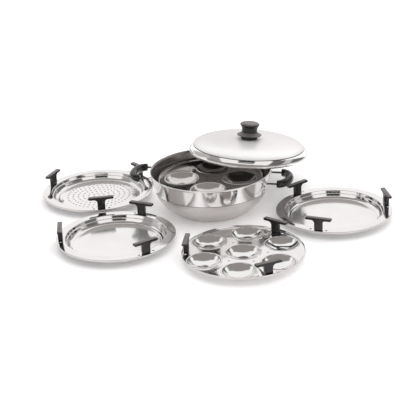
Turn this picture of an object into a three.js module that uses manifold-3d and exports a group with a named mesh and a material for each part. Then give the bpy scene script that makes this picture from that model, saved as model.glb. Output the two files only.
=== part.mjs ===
// A stainless steel multi kadai set: a pot with two side handles, its lid set down askew on the rim,
// two idli plates stacked inside the pot, and four more plates standing round it on the table.
// Millimetres, +Z up, origin on the table under the middle of the pot, +Y away from the viewer.

import * as THREE from 'three';
import { mergeVertices } from 'three/addons/utils/BufferGeometryUtils.js';
import Module from 'manifold-3d';

const wasm = await Module();
wasm.setup();

// Pot
const potHeight = 92;
const potLipRadius = 133.5;
const potLipWidth = 2.5;
const potLipFlat = 0.8;
const potCreaseRadius = 125;
const potCreaseHeight = 52;
const potCreaseStep = 0.8;
const potFloorRadius = 88;
const potBulgeInset = 10;
const potBulgeRise = 18;
const potWall = 1.5;
const basePlateInset = 4;
const basePlateThickness = 4;
const basePlateBevel = 1.3;

// Pot handles
const handleAzimuth = -13;
const handleDrop = 16;
const handleHalfGap = 34;
const rodRadius = 2.1;
const rodReach = 26;
const socketDepth = 5;
const bossRadius = 4.2;
const bossLength = 7;
const earWidth = 11;
const earHeight = 25;
const earThickness = 1.8;
const earDrop = 5;
const gripReach = 22;
const gripEndRadius = 8.2;
const gripMiddleRadius = 9;

// Lid
const lidRadius = 136;
const lidWall = 1;
const lidRingRadius = 126.5;
const lidRingHeight = 15.8;
const lidDomeRise = 16.6;
const lidDomeShoulder = 117;
const lidSeatRadius = 20;
const lidSkirtWaist = 2.2;
const lidBrimWidth = 4;
const lidBrimHeight = 4;
const lidShift = 142.3;
const lidShiftAzimuth = 51.4;
const lidTilt = 6.3;
const lidTiltAzimuth = 42.6;

// Lid knob
const knobBaseRadius = 19;
const knobCollarRadius = 28;
const knobWaistRadius = 17.3;
const knobTopRadius = 22;
const knobTopBevel = 4;
const knobTopEdge = 2.5;
const knobHeight = 36.5;
const knobBaseHeight = 6;
const knobCollarThickness = 6;
const knobCollarEdge = 1;
const knobCollarSlope = 2;
const knobWasherRadius = 10;
const knobWasherThickness = 1.5;

// Plates that stand round the pot, the first at its azimuth and the others after it
const firstPlateAzimuth = 160.3;
const plateRadius = 125;
const panHeight = 18;
const plateWall = 1;
const panEdgeDrop = 4;
const panFlangeWidth = 18;
const panFloorInset = 8;
const panCornerRadius = 6;
const panCornerRise = 3;
const strainerHoleRadius = 2.5;
const strainerRings = 4;
const strainerPitch = 19.5;

// Idli plates
const idliTurn = 39;
const idliSeatHeight = 36;
const idliHeight = 14;
const idliEdgeRise = 4;
const cupFlatRadius = 6;
const cupPullShare = 0.62;
const cupBeadWidth = 3;
const cupBeadRise = 0.6;
const smallCupCount = 6;
const smallCupMargin = 5;
const smallCupWeb = 18;
const largeCupCount = 4;
const largeCupWeb = 18;
const steamHoleRadius = 2.5;
const largeSteamRadius = 14;

// Stack handles, three on a plate; those inside the pot are taller
const stackHandleCount = 3;
const stackHandleHeight = 27.5;
const insideHandleHeight = 31;
const stackBarLength = 56;
const stackBarThickness = 6;
const stackDepth = 10;
const stackStemWidth = 17;
const stackFillet = 7;
const stackSeatInset = 9;
const ventHoleRadius = 1.8;
const ventHoleOffset = 17;

// Screws
const screwRadius = 2;
const screwHeadRadius = 3.8;
const screwHeadBevel = 1.1;
const screwHeadHeight = 2;
const screwDepth = 12;

// Clearances
const seatGap = 0.3;
const holeClearance = 0.4;
const wallClearance = 0.4;
const handleClearance = 1.2;

// Facets
const potSegments = 40;
const lidSegments = 34;
const plateSegments = 28;
const knobSegments = 14;
const cupSegments = 12;
const washerSides = 10;
const rodSides = 8;
const holeSides = 4;
const strainerSides = 4;
const screwSides = 5;
const curveSteps = 2;
const bulgeSteps = 3;
const waistSteps = 3;
const gripSteps = 10;
const gripSides = 8;

// Finest steps round the lid and along its profile when it is set down on the lip
const contactTurns = 720;
const contactSteps = 20;

const steel = () => new THREE.MeshStandardMaterial({ color: 0xd9d8d6, roughness: 0.12, metalness: 1 });
const satinSteel = () => new THREE.MeshStandardMaterial({ color: 0xb9b4b2, roughness: 0.4, metalness: 1 });
const bakelite = () => new THREE.MeshStandardMaterial({ color: 0x1d1715, roughness: 0.45, metalness: 0 });

const degrees = THREE.MathUtils.degToRad;
const point = (x, y) => new THREE.Vector2(x, y);

// Moves a profile sideways, to its left, by the same distance all along, with mitred corners.
function offsetPath(path, distance) {
  return path.map((corner, i) => {
    const before = path[i].clone().sub(path[Math.max(i - 1, 0)]);
    const after = path[Math.min(i + 1, path.length - 1)].clone().sub(path[i]);
    const arriving = (before.length() > 0 ? before : after).clone().normalize();
    const leaving = (after.length() > 0 ? after : before).clone().normalize();
    const along = arriving.clone().add(leaving).normalize();
    const reach = distance / along.dot(arriving);
    return point(corner.x - along.y * reach, corner.y + along.x * reach);
  });
}

// Radius of a profile where it passes a height.
function radiusAt(path, height) {
  for (let i = 1; i < path.length; i += 1) {
    const [low, high] = [path[i - 1], path[i]];
    if (low.y <= height && height <= high.y && high.y > low.y) {
      return THREE.MathUtils.mapLinear(height, low.y, high.y, low.x, high.x);
    }
  }
  return path[path.length - 1].x;
}

// Turns a profile of radius and height round the Z axis.
function revolve(profile, segments) {
  return new THREE.LatheGeometry(profile, segments).rotateX(Math.PI / 2);
}

// Sheet metal turned round the Z axis: the path is its lower side, and the wall lies above that.
function revolveSheet(path, wall, segments) {
  return revolve([...path, ...offsetPath(path, wall).reverse()], segments);
}

function cylinder(radius, length, sides) {
  return new THREE.CylinderGeometry(radius, radius, length, sides).rotateX(Math.PI / 2);
}

function toSolid(geometry) {
  const bare = geometry.clone();
  bare.deleteAttribute('normal');
  bare.deleteAttribute('uv');
  const welded = mergeVertices(bare, 1e-3);
  const corners = welded.index.array;
  const triangles = [];
  for (let i = 0; i < corners.length; i += 3) {
    const [a, b, c] = corners.slice(i, i + 3);
    if (a !== b && b !== c && c !== a) triangles.push(a, b, c);
  }
  return new wasm.Manifold(new wasm.Mesh({
    numProp: 3,
    vertProperties: new Float32Array(welded.attributes.position.array),
    triVerts: new Uint32Array(triangles),
  }));
}

function toGeometry(solid) {
  const mesh = solid.getMesh();
  const geometry = new THREE.BufferGeometry();
  geometry.setAttribute('position', new THREE.BufferAttribute(mesh.vertProperties, 3));
  geometry.setIndex(new THREE.BufferAttribute(mesh.triVerts, 1));
  geometry.computeVertexNormals();
  return geometry;
}

function cut(geometry, cutters) {
  return toGeometry(cutters.reduce((solid, cutter) => solid.subtract(toSolid(cutter)), toSolid(geometry)));
}

function join(geometries) {
  return toGeometry(geometries.map(toSolid).reduce((whole, next) => whole.add(next)));
}

function addMesh(parent, name, geometry, material) {
  const mesh = new THREE.Mesh(geometry, material);
  mesh.name = name;
  parent.add(mesh);
  return mesh;
}

function addGroup(parent, azimuth = 0) {
  const group = new THREE.Group();
  group.rotation.z = degrees(azimuth);
  parent.add(group);
  return group;
}

// Pot: a flat floor, a round bulge up to the crease, then a plain band that widens to a flat lip.
function potPath() {
  const floorEdge = point(potFloorRadius, basePlateThickness);
  const crease = point(potCreaseRadius, potCreaseHeight);
  const pull = point(potCreaseRadius - potBulgeInset, basePlateThickness + potBulgeRise);
  const bulge = new THREE.QuadraticBezierCurve(floorEdge, pull, crease).getPoints(bulgeSteps);
  const lipHeight = potHeight - potWall;
  return [
    point(0, basePlateThickness),
    ...bulge,
    point(potCreaseRadius + potCreaseStep, potCreaseHeight + potCreaseStep),
    point(potLipRadius - potLipWidth, lipHeight - potLipWidth),
    point(potLipRadius - potLipFlat, lipHeight),
    point(potLipRadius, lipHeight),
  ];
}

const potOuter = potPath();
const potInner = offsetPath(potOuter, potWall);

function addPot(parent) {
  addMesh(parent, 'pot_shell', revolveSheet(potOuter, potWall, potSegments), steel());
  const plateEdge = potFloorRadius - basePlateInset;
  const profile = [
    point(0, 0),
    point(plateEdge - basePlateBevel, 0),
    point(plateEdge, basePlateBevel),
    point(plateEdge, basePlateThickness),
    point(0, basePlateThickness),
  ];
  addMesh(parent, 'pot_base_plate', revolve(profile, plateSegments), satinSteel());
}

// Pot handle, drawn along +X: two ears on the wall, a rod out of each, and a bowed grip on the rods.
const handleHeight = potHeight - handleDrop;
const handleWallRadius = radiusAt(potOuter, handleHeight);
const handleRoot = Math.sqrt(handleWallRadius ** 2 - handleHalfGap ** 2);
const bossEnd = handleRoot + bossLength;
const gripStart = bossEnd + rodReach - socketDepth;

// Cutter for the socket that holds one end of a rod.
function rodSocket(mouth, side) {
  const socket = cylinder(rodRadius + holeClearance, 2 * socketDepth, rodSides).rotateY(Math.PI / 2);
  return socket.translate(mouth, side * handleHalfGap, handleHeight);
}

function ear(side) {
  const bandTop = potOuter[potOuter.length - 3];
  const bandBottom = potOuter[potOuter.length - 4];
  const taper = Math.atan2(bandTop.x - bandBottom.x, bandTop.y - bandBottom.y);
  const round = earWidth / 2;
  const outline = new THREE.Shape();
  outline.absarc(0, earHeight / 2 - round, round, 0, Math.PI, false);
  outline.absarc(0, round - earHeight / 2, round, Math.PI, 2 * Math.PI, false);
  const plate = new THREE.ExtrudeGeometry(outline, {
    depth: 2 * earThickness,
    bevelEnabled: false,
    curveSegments: curveSteps,
  });
  plate.translate(0, -earDrop, -earThickness);
  plate.applyMatrix4(new THREE.Matrix4().makeBasis(
    new THREE.Vector3(0, 1, 0),
    new THREE.Vector3(0, 0, 1),
    new THREE.Vector3(1, 0, 0),
  ));
  plate.rotateY(taper);
  plate.translate(handleWallRadius, 0, handleHeight);
  plate.rotateZ(side * Math.asin(handleHalfGap / handleWallRadius));
  const boss = cylinder(bossRadius, 2 * bossLength, rodSides).rotateY(Math.PI / 2);
  boss.translate(handleRoot, side * handleHalfGap, handleHeight);
  const socket = rodSocket(bossEnd, side);
  const wallSide = offsetPath(potOuter, -seatGap);
  const top = point(0, wallSide[wallSide.length - 1].y);
  const wall = revolve([...wallSide, top], potSegments).rotateZ(-degrees(handleAzimuth));
  return cut(join([plate, boss]), [wall, socket]);
}

// The grip is a loft along half an ellipse, thickest in the middle, with a socket in each end.
function grip() {
  const rings = [];
  for (let i = 0; i <= gripSteps; i += 1) {
    const sweep = Math.PI * i / gripSteps;
    const bow = Math.sin(sweep);
    const middle = new THREE.Vector3(gripStart + gripReach * bow, handleHalfGap * Math.cos(sweep), 0);
    const outward = new THREE.Vector3(handleHalfGap * bow, gripReach * Math.cos(sweep), 0).normalize();
    const radius = THREE.MathUtils.lerp(gripEndRadius, gripMiddleRadius, bow);
    rings.push(Array.from({ length: gripSides }, (_, k) => {
      const turn = 2 * Math.PI * k / gripSides;
      const corner = middle.clone().addScaledVector(outward, radius * Math.cos(turn));
      return corner.setZ(radius * Math.sin(turn));
    }));
  }
  const corners = rings.flat();
  const faces = [];
  for (let i = 0; i < gripSteps; i += 1) {
    for (let k = 0; k < gripSides; k += 1) {
      const [a, b] = [i * gripSides + k, i * gripSides + (k + 1) % gripSides];
      faces.push(a, b, a + gripSides, b, b + gripSides, a + gripSides);
    }
  }
  for (let k = 1; k < gripSides - 1; k += 1) {
    const last = gripSteps * gripSides;
    faces.push(0, k + 1, k, last, last + k, last + k + 1);
  }
  const geometry = new THREE.BufferGeometry().setFromPoints(corners);
  geometry.setIndex(faces);
  geometry.translate(0, 0, handleHeight);
  return cut(geometry, [-1, 1].map((side) => rodSocket(gripStart, side)));
}

function rod(side) {
  const start = bossEnd - socketDepth + seatGap;
  const end = gripStart + socketDepth - seatGap;
  const geometry = cylinder(rodRadius, end - start, rodSides).rotateY(Math.PI / 2);
  return geometry.translate((start + end) / 2, side * handleHalfGap, handleHeight);
}

function addHandle(parent, name, azimuth) {
  const group = addGroup(parent, azimuth);
  for (const [place, side] of [['a', -1], ['b', 1]]) {
    addMesh(group, `${name}_handle_ear_${place}`, ear(side), steel());
    addMesh(group, `${name}_handle_rod_${place}`, rod(side), steel());
  }
  addMesh(group, `${name}_handle_grip`, grip(), bakelite());
}

// Lid: a flat seat for the knob, a low dome to a crisp ring, a flared skirt and a turned-down brim.
function lidPath() {
  const seatHeight = lidRingHeight + lidDomeRise - lidWall;
  const ringHeight = lidRingHeight - lidWall;
  const dome = new THREE.QuadraticBezierCurve(
    point(lidSeatRadius, seatHeight),
    point(lidDomeShoulder, seatHeight),
    point(lidRingRadius, ringHeight),
  ).getPoints(bulgeSteps);
  const skirtEnd = lidRadius - lidBrimWidth;
  return [
    point(0, seatHeight),
    ...dome,
    point(lidRingRadius + lidSkirtWaist, (ringHeight + lidBrimHeight) / 2),
    point(skirtEnd, lidBrimHeight - lidWall),
    point(lidRadius - lidWall, lidBrimHeight - lidWall),
    point(lidRadius - lidWall, 0),
  ];
}

const lidLower = lidPath();
const lidAxis = new THREE.Vector3(
  Math.sin(degrees(lidTilt)) * Math.cos(degrees(lidTiltAzimuth)),
  Math.sin(degrees(lidTilt)) * Math.sin(degrees(lidTiltAzimuth)),
  Math.cos(degrees(lidTilt)),
);
const lidTurn = new THREE.Quaternion().setFromUnitVectors(new THREE.Vector3(0, 0, 1), lidAxis);

// Height of the tilted lid at which its underside first meets the flat lip of the pot.
function lidHeight(centre) {
  let height = 0;
  for (let i = 1; i < lidLower.length; i += 1) {
    for (let k = 0; k <= contactSteps; k += 1) {
      const under = lidLower[i - 1].clone().lerp(lidLower[i], k / contactSteps);
      for (let n = 0; n < contactTurns; n += 1) {
        const turn = 2 * Math.PI * n / contactTurns;
        const spot = new THREE.Vector3(under.x * Math.cos(turn), under.x * Math.sin(turn), under.y);
        spot.applyQuaternion(lidTurn);
        const reach = Math.hypot(centre.x + spot.x, centre.y + spot.y);
        const overLip = reach < potLipRadius && reach > potLipRadius - potLipWidth - potWall;
        if (overLip) height = Math.max(height, potHeight - spot.z);
      }
    }
  }
  return height + seatGap;
}

function knobProfile() {
  const collarTop = knobBaseHeight + knobCollarThickness;
  const collarLow = knobBaseHeight + knobCollarSlope;
  const topLow = knobHeight - knobTopEdge;
  const waist = new THREE.QuadraticBezierCurve(
    point(knobWaistRadius, collarTop),
    point(knobWaistRadius, (collarTop + topLow) / 2),
    point(knobTopRadius, topLow - knobTopEdge),
  ).getPoints(waistSteps);
  return [
    point(0, 0),
    point(knobBaseRadius, 0),
    point(knobBaseRadius, knobBaseHeight),
    point(knobCollarRadius, collarLow),
    point(knobCollarRadius, collarLow + knobCollarEdge),
    ...waist,
    point(knobTopRadius, topLow),
    point(knobTopRadius - knobTopBevel, knobHeight),
    point(0, knobHeight),
  ];
}

// Screw standing on its head: the head's underside is at height 0 and the shank points up.
function screw(length) {
  return revolve([
    point(0, -screwHeadHeight),
    point(screwHeadRadius - screwHeadBevel, -screwHeadHeight),
    point(screwHeadRadius, 0),
    point(screwRadius, 0),
    point(screwRadius, length),
    point(0, length),
  ], screwSides);
}

function screwHole(depth) {
  return cylinder(screwRadius + holeClearance, 2 * depth, screwSides);
}

function addLid(parent) {
  const group = addGroup(parent);
  const spread = degrees(lidShiftAzimuth);
  group.position.set(lidShift * Math.cos(spread), lidShift * Math.sin(spread), 0);
  group.position.z = lidHeight(group.position);
  group.quaternion.copy(lidTurn);
  const seat = lidLower[0].y;
  const sheet = revolveSheet(lidLower, lidWall, lidSegments);
  const hole = screwHole(knobHeight).translate(0, 0, seat);
  addMesh(group, 'lid_shell', cut(sheet, [hole]), steel());
  const knobSeat = seat + lidWall + seatGap;
  const knob = cut(revolve(knobProfile(), knobSegments), [screwHole(screwDepth + seatGap)]);
  addMesh(group, 'lid_knob', knob, bakelite()).position.z = knobSeat;
  const washerTop = seat - seatGap;
  const disc = cylinder(knobWasherRadius, knobWasherThickness, washerSides);
  const washer = cut(disc, [screwHole(knobWasherThickness)]);
  addMesh(group, 'lid_washer', washer, steel()).position.z = washerTop - knobWasherThickness / 2;
  const screwSeat = washerTop - knobWasherThickness - seatGap;
  const knobScrew = screw(knobSeat + screwDepth - screwSeat);
  addMesh(group, 'lid_screw', knobScrew, steel()).position.z = screwSeat;
}

// Stack handle: a T with filleted arms, standing on its stem, with a blind hole for its screw.
function stackHandle(height) {
  const half = stackStemWidth / 2;
  const end = stackBarThickness / 2;
  const armUnder = height - stackBarThickness;
  const arm = stackBarLength / 2 - end;
  const outline = new THREE.Shape();
  outline.moveTo(-half, 0);
  outline.lineTo(half, 0);
  outline.absarc(half + stackFillet, armUnder - stackFillet, stackFillet, Math.PI, Math.PI / 2, true);
  outline.absarc(arm, armUnder + end, end, -Math.PI / 2, Math.PI / 2, false);
  outline.absarc(-arm, armUnder + end, end, Math.PI / 2, 1.5 * Math.PI, false);
  outline.absarc(-half - stackFillet, armUnder - stackFillet, stackFillet, Math.PI / 2, 0, true);
  const tee = new THREE.ExtrudeGeometry(outline, {
    depth: stackDepth,
    bevelEnabled: false,
    curveSegments: curveSteps,
  });
  tee.translate(0, 0, -stackDepth / 2);
  tee.rotateX(Math.PI / 2);
  tee.rotateZ(Math.PI / 2);
  return cut(tee, [screwHole(screwDepth + seatGap)]);
}

function stackSpots() {
  return Array.from({ length: stackHandleCount }, (_, i) => 360 * i / stackHandleCount);
}

// Holes that a plate needs under its stack handles: one for the screw and a vent on each side.
function stackHoles(seatRadius, seatHeight) {
  return stackSpots().flatMap((azimuth) => [-1, 0, 1].map((side) => {
    const hole = side === 0 ? screwHole(2 * plateWall) : cylinder(ventHoleRadius, 4 * plateWall, holeSides);
    hole.translate(seatRadius, side * ventHoleOffset, seatHeight - plateWall / 2);
    return hole.rotateZ(degrees(azimuth));
  }));
}

function addStackHandles(parent, name, height, seatRadius, seatHeight) {
  stackSpots().forEach((azimuth, i) => {
    const group = addGroup(parent, azimuth);
    const tee = addMesh(group, `${name}_stack_handle_${i + 1}`, stackHandle(height), bakelite());
    tee.position.set(seatRadius, 0, seatHeight + seatGap);
    const headSeat = seatHeight - plateWall - seatGap;
    const fastener = screw(plateWall + 2 * seatGap + screwDepth);
    addMesh(group, `${name}_stack_screw_${i + 1}`, fastener, steel()).position.set(seatRadius, 0, headSeat);
  });
}

// Pan: a flat floor, a sloping wall and a wide flat flange whose edge is turned down.
const panSeatRadius = plateRadius - stackSeatInset;

function panPath() {
  const flangeInner = plateRadius - panFlangeWidth;
  const floorEdge = flangeInner - panFloorInset;
  const flangeUnder = panHeight - plateWall;
  const corner = new THREE.QuadraticBezierCurve(
    point(floorEdge - panCornerRadius, 0),
    point(floorEdge, 0),
    point(floorEdge + panCornerRise, panCornerRadius),
  ).getPoints(curveSteps);
  return [
    point(0, 0),
    ...corner,
    point(flangeInner, flangeUnder),
    point(plateRadius - plateWall, flangeUnder),
    point(plateRadius - plateWall, panHeight - panEdgeDrop),
  ];
}

function strainerHoles() {
  const holes = [];
  for (let ring = 0; ring <= strainerRings; ring += 1) {
    const count = Math.max(1, 6 * ring);
    for (let i = 0; i < count; i += 1) {
      const hole = cylinder(strainerHoleRadius, 4 * plateWall, strainerSides);
      hole.translate(ring * strainerPitch, 0, plateWall / 2);
      holes.push(hole.rotateZ(2 * Math.PI * i / count));
    }
  }
  return holes;
}

function pan(extraHoles = []) {
  const sheet = revolveSheet(panPath(), plateWall, plateSegments);
  return cut(sheet, [...stackHoles(panSeatRadius, panHeight), ...extraHoles]);
}

// Idli plate: a flat sheet with its edge turned up, and a ring of beaded cups pressed into it.
function cupRing(radius, count, margin, web) {
  const spread = 2 * Math.sin(Math.PI / count);
  const cupRadius = ((radius - margin) * spread - web) / (2 + spread);
  return { cupRadius, ringRadius: radius - margin - cupRadius };
}

function cup(cupRadius) {
  const rim = idliHeight - plateWall;
  const side = new THREE.QuadraticBezierCurve(
    point(cupFlatRadius, 0),
    point(cupRadius * cupPullShare, 0),
    point(cupRadius, rim),
  ).getPoints(curveSteps);
  const path = [point(0, 0), ...side, point(cupRadius + cupBeadWidth, rim + cupBeadRise)];
  return revolveSheet(path, plateWall, cupSegments);
}

function idliPlate({ radius, count, margin, web, hasMiddleCup, extraHoles }) {
  const { cupRadius, ringRadius } = cupRing(radius, count, margin, web);
  const under = idliHeight - plateWall;
  const sheet = revolveSheet([
    point(0, under),
    point(radius, under),
    point(radius, idliHeight + idliEdgeRise),
  ], plateWall, plateSegments);
  const places = Array.from({ length: count }, (_, i) => (2 * i + 1) * Math.PI / count);
  const centres = places.map((turn) => point(ringRadius * Math.cos(turn), ringRadius * Math.sin(turn)));
  if (hasMiddleCup) centres.push(point(0, 0));
  const mouths = centres.map((centre) => {
    const mouth = cylinder(cupRadius + cupBeadWidth / 2, 4 * plateWall, cupSegments);
    return mouth.translate(centre.x, centre.y, idliHeight);
  });
  const steamHoles = places.map((turn) => {
    const hole = cylinder(steamHoleRadius, 4 * plateWall, holeSides);
    const steamRadius = hasMiddleCup ? ringRadius / (2 * Math.cos(Math.PI / count)) : largeSteamRadius;
    hole.translate(steamRadius, 0, idliHeight);
    return hole.rotateZ(turn - Math.PI / count);
  });
  const cups = centres.map((centre) => cup(cupRadius).translate(centre.x, centre.y, 0));
  return join([cut(sheet, [...mouths, ...steamHoles, ...extraHoles]), ...cups]);
}

// The inside plates fit the pot where its wall has the seat's height.
const idliRadius = radiusAt(potInner, idliSeatHeight) * Math.cos(Math.PI / potSegments) - wallClearance;
const idliSeatInset = plateWall + handleClearance + stackDepth / 2;
const idliHandleRadius = idliRadius - idliSeatInset;
const largeCupMargin = idliSeatInset + stackDepth / 2 + handleClearance + plateWall;

function largeIdliPlate(extraHoles) {
  return idliPlate({
    radius: idliRadius,
    count: largeCupCount,
    margin: largeCupMargin,
    web: largeCupWeb,
    hasMiddleCup: false,
    extraHoles,
  });
}

function addIdliStack(parent) {
  const lower = addGroup(parent, idliTurn);
  lower.position.z = idliSeatHeight - (idliHeight - plateWall);
  const lowerPlate = largeIdliPlate(stackHoles(idliHandleRadius, idliHeight));
  addMesh(lower, 'lower_idli_plate', lowerPlate, steel());
  addStackHandles(lower, 'lower_idli', insideHandleHeight, idliHandleRadius, idliHeight);
  const upper = addMesh(addGroup(parent, idliTurn), 'upper_idli_plate', largeIdliPlate([]), steel());
  upper.position.z = lower.position.z + seatGap + insideHandleHeight + seatGap + plateWall;
}

function miniIdliPlate() {
  return idliPlate({
    radius: plateRadius,
    count: smallCupCount,
    margin: smallCupMargin,
    web: smallCupWeb,
    hasMiddleCup: true,
    extraHoles: stackHoles(panSeatRadius, idliHeight),
  });
}

// Plates round the pot: each stands its own gap off the pot's lip and off the plate before it.
const plainPan = { shape: () => pan(), seatHeight: panHeight };
const strainerPan = { shape: () => pan(strainerHoles()), seatHeight: panHeight };
const cupPlate = { shape: miniIdliPlate, seatHeight: idliHeight };
const plateSpots = [
  { name: 'steamer', plate: strainerPan, potGap: 16.2, lastGap: 0, turn: 37.5 },
  { name: 'left_dhokla', plate: plainPan, potGap: 5, lastGap: 16.4, turn: 64.5 },
  { name: 'mini_idli', plate: cupPlate, potGap: 17.4, lastGap: 30.6, turn: 52 },
  { name: 'right_dhokla', plate: plainPan, potGap: 15.8, lastGap: 29, turn: 7.5 },
];

function addPlates(parent) {
  let azimuth = firstPlateAzimuth;
  let lastReach = 0;
  plateSpots.forEach(({ name, plate, potGap, lastGap, turn }, i) => {
    const reach = potLipRadius + plateRadius + potGap;
    if (i > 0) {
      const apart = 2 * plateRadius + lastGap;
      azimuth += THREE.MathUtils.radToDeg(
        Math.acos((lastReach ** 2 + reach ** 2 - apart ** 2) / (2 * lastReach * reach)),
      );
    }
    lastReach = reach;
    const group = addGroup(parent, turn);
    group.position.set(reach * Math.cos(degrees(azimuth)), reach * Math.sin(degrees(azimuth)), 0);
    addMesh(group, `${name}_plate`, plate.shape(), steel());
    addStackHandles(group, name, stackHandleHeight, panSeatRadius, plate.seatHeight);
  });
}

const kadai = new THREE.Group();
kadai.name = 'multi_kadai';
addPot(kadai);
addHandle(kadai, 'right', handleAzimuth);
addHandle(kadai, 'left', handleAzimuth + 180);
addLid(kadai);
addIdliStack(kadai);
addPlates(kadai);

export default kadai;
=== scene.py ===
import math

import bpy
from mathutils import Matrix, Vector


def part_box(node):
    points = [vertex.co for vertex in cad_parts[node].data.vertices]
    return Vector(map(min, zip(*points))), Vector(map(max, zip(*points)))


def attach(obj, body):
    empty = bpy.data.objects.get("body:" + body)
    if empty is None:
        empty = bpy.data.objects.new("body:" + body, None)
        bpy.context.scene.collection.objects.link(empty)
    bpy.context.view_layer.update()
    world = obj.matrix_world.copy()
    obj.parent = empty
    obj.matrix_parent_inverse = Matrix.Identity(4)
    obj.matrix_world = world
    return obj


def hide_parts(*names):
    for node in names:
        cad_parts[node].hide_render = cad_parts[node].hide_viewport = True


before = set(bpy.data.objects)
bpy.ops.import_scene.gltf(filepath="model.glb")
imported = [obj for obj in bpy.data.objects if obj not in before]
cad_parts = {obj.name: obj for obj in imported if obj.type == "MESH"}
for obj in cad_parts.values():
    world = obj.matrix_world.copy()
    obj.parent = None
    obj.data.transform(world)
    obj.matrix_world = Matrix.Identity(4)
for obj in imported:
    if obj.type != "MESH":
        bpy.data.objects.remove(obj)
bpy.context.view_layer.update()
mm = 0.001  # pieces are drawn in millimetres
seam = 0.002 * mm  # points nearer than this are one point


# Selecting and placing

def clearSelection():
    if bpy.context.object and bpy.context.object.mode != "OBJECT":
        bpy.ops.object.mode_set(mode="OBJECT")
    bpy.ops.object.select_all(action="DESELECT")


def pick(piece):
    clearSelection()
    piece.select_set(True)
    bpy.context.view_layer.objects.active = piece


def startEdit(piece, how="SELECT"):
    pick(piece)
    bpy.ops.object.mode_set(mode="EDIT")
    bpy.ops.mesh.select_mode(type="VERT")
    bpy.ops.mesh.select_all(action=how)


def endEdit():
    bpy.ops.object.mode_set(mode="OBJECT")


def setPlace(piece, place):
    piece.matrix_world = place
    pick(piece)
    bpy.ops.object.transform_apply(location=True, rotation=True, scale=True)


def nameIt(piece, name):
    piece.name = name
    piece.data.name = name


def copyTo(piece, name, place):
    pick(piece)
    bpy.ops.object.duplicate(linked=False)
    copy = bpy.context.object
    nameIt(copy, name)
    setPlace(copy, place)
    return copy


def dropPiece(piece):
    bpy.data.objects.remove(piece)


def joinPieces(pieces):
    clearSelection()
    for piece in pieces:
        piece.select_set(True)
    bpy.context.view_layer.objects.active = pieces[0]
    bpy.ops.object.join()
    return bpy.context.object


# Keeps where each point was before the piece was set in place, for marks that run round it
def keepTurned(piece):
    spots = piece.data.attributes.new("turned", "FLOAT_VECTOR", "POINT")
    spots.data.foreach_set("vector", [number for vertex in piece.data.vertices for number in vertex.co])


def smooth(piece, angle=30):
    pick(piece)
    bpy.ops.object.shade_smooth_by_angle(angle=math.radians(angle))


def dress(piece, body, slotName, finish, *nodes):
    if not piece.data.materials:
        piece.data.materials.append(finish)
    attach(piece, body)
    if nodes:
        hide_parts(*nodes)


def addFinishes(piece, *finishes):
    for finish in finishes:
        piece.data.materials.append(finish)


# Painted light: the upper faces of a moulding get a paler copy of the bakelite, as if lit from above
def paintLitTops(piece, up, least=0.6):
    addFinishes(piece, bakelite, litTopBakelite)
    for face in piece.data.polygons:
        face.material_index = 1 if face.normal.dot(up) > least else 0


# Places that the solids give

def cornersOf(node):
    return [Vector(spot) for spot in {tuple(round(n, 6) for n in v.co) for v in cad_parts[node].data.vertices}]


def middleOf(node):
    corners = cornersOf(node)
    return sum(corners, Vector()) / len(corners)


def turnZ(angle):
    return Matrix.Rotation(angle, 4, "Z")


def turnTo(spot, centre):
    return math.atan2(spot.y - centre.y, spot.x - centre.x)


# Outlines

def curvePoints(start, pull, end, steps):
    points = []
    for i in range(1, steps + 1):
        t = i / steps
        points.append(tuple((1 - t) ** 2 * a + 2 * t * (1 - t) * b + t * t * c for a, b, c in zip(start, pull, end)))
    return points


def arcPoints(centre, radius, start, end, steps):
    turns = [math.radians(start + (end - start) * i / steps) for i in range(steps + 1)]
    return [(centre[0] + radius * math.cos(t), centre[1] + radius * math.sin(t)) for t in turns]


# A third number at a corner is how far it is rounded
def roundCorners(path, steps=4):
    points = []
    for i, corner in enumerate(path):
        here = Vector(corner[:2])
        size = corner[2] if len(corner) > 2 and 0 < i < len(path) - 1 else 0
        if not size:
            points.append(tuple(here))
            continue
        back = Vector(path[i - 1][:2]) - here
        ahead = Vector(path[i + 1][:2]) - here
        start = here + back.normalized() * min(size, back.length * 0.48)
        end = here + ahead.normalized() * min(size, ahead.length * 0.48)
        points.append(tuple(start))
        points.extend(curvePoints(start, here, end, steps))
    return points


# The same path moved to its left by the sheet's wall
def besidePath(path, wall):
    moved = []
    for i, corner in enumerate(path):
        here = Vector(corner[:2])
        before = here - Vector(path[max(i - 1, 0)][:2])
        after = Vector(path[min(i + 1, len(path) - 1)][:2]) - here
        arriving = (before if before.length else after).normalized()
        leaving = (after if after.length else before).normalized()
        along = (arriving + leaving).normalized()
        reach = wall / along.dot(arriving)
        moved.append((here.x - along.y * reach, here.y + along.x * reach, *corner[2:]))
    return moved


def sheetPath(path, wall, edge=0.3):
    under = [*path[:-1], (*path[-1][:2], edge)]
    over = besidePath(path, wall)
    over[-1] = (*over[-1][:2], edge)
    return roundCorners([*under, *over[::-1]])


# Modelling steps

# One point, pulled along a line of places
def drawLine(name, places):
    clearSelection()
    bpy.ops.mesh.primitive_plane_add(size=mm)
    piece = bpy.context.object
    nameIt(piece, name)
    startEdit(piece)
    bpy.ops.mesh.merge(type="CENTER")
    bpy.ops.transform.translate(value=Vector(places[0]) * mm)
    for before, after in zip(places, places[1:]):
        step = (Vector(after) - Vector(before)) * mm
        bpy.ops.mesh.extrude_region_move(TRANSFORM_OT_translate={"value": step})
    return piece


def spinPiece(name, path, turns):
    piece = drawLine(name, [(x, 0, z) for x, z in path])
    bpy.ops.mesh.select_all(action="SELECT")
    bpy.ops.mesh.spin(steps=turns, angle=2 * math.pi, center=(0, 0, 0), axis=(0, 0, 1))
    bpy.ops.mesh.select_all(action="SELECT")
    bpy.ops.mesh.remove_doubles(threshold=seam)
    bpy.ops.mesh.normals_make_consistent(inside=False)
    endEdit()
    return piece


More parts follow.
